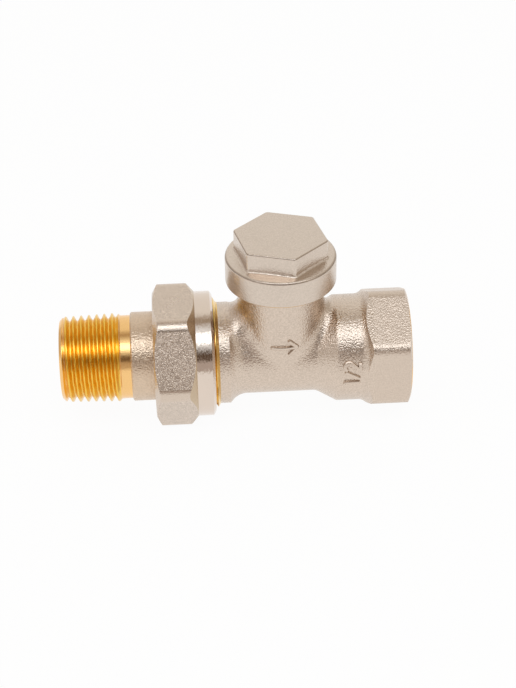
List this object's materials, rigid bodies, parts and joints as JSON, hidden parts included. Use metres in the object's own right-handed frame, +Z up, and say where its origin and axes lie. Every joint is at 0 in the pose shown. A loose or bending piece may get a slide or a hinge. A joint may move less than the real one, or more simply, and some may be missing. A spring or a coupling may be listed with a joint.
{
  "type": "lockshield radiator valve",
  "caption": "Straight lockshield radiator valve: forged tee body with hexagon pipe end, union nut with threaded tail, and a hexagon cap over a key-operated spindle.",
  "frame": {"origin": "centre of the mouth of the female pipe thread, on the hexagon end face", "axes": "+X along the pipe axis out of the pipe thread's mouth, the tail pointing to -X; +Z up along the spindle, towards the cap; Y across"},
  "size_m": [0.0815, 0.0336, 0.0468],
  "materials": {
    "nickel_plate": "satin",
    "bare_brass": "gloss",
    "seal_rubber": "matte",
    "seal_fibre": "matte",
    "steel": "satin"
  },
  "bodies": {
    "body": {"valve_body": "nickel_plate", "bonnet": "bare_brass", "bonnet_gasket": "seal_fibre", "spindle_o_ring_upper": "seal_rubber", "spindle_o_ring_lower": "seal_rubber"},
    "tail": {"union_tail": "bare_brass"},
    "nut": {"union_nut": "nickel_plate"},
    "gasket": {"cap_gasket": "seal_rubber"},
    "cap": {"protective_cap": "nickel_plate"},
    "plug": {"valve_plug": "bare_brass", "seat_washer": "seal_rubber"},
    "spindle": {"spindle": "bare_brass", "plug_plate": "bare_brass", "plug_screw": "steel"}
  },
  "joints": [
    {"name": "union_slide", "type": "slide", "parent": "body", "child": "tail", "axis": [-1, 0, 0], "range_m": [0, 0.00908]},
    {"name": "nut_turn", "type": "hinge", "parent": "tail", "child": "nut", "pos_m": [-0.0526, 0, 0], "axis": [-1, 0, 0], "range_deg": [0, 1800]},
    {"name": "cap_lift", "type": "slide", "parent": "body", "child": "gasket", "axis": [0, 0, 1], "range_m": [0, 0.00451]},
    {"name": "cap_turn", "type": "hinge", "parent": "gasket", "child": "cap", "pos_m": [-0.0296, 0, 0.026], "axis": [0, 0, 1], "range_deg": [0, 1080]},
    {"name": "plug_lift", "type": "slide", "parent": "body", "child": "plug", "axis": [0, 0, 1], "range_m": [0, 0.00351]},
    {"name": "spindle_turn", "type": "hinge", "parent": "plug", "child": "spindle", "pos_m": [-0.0296, 0, 0.012], "axis": [0, 0, 1], "range_deg": [0, 1260]}
  ],
  "couplings": [
    {"joint": "union_slide", "follows": "nut_turn", "m_per_rad": 0.00028876},
    {"joint": "cap_lift", "follows": "cap_turn", "m_per_rad": 0.00023873},
    {"joint": "plug_lift", "follows": "spindle_turn", "m_per_rad": 0.00015915}
  ]
}
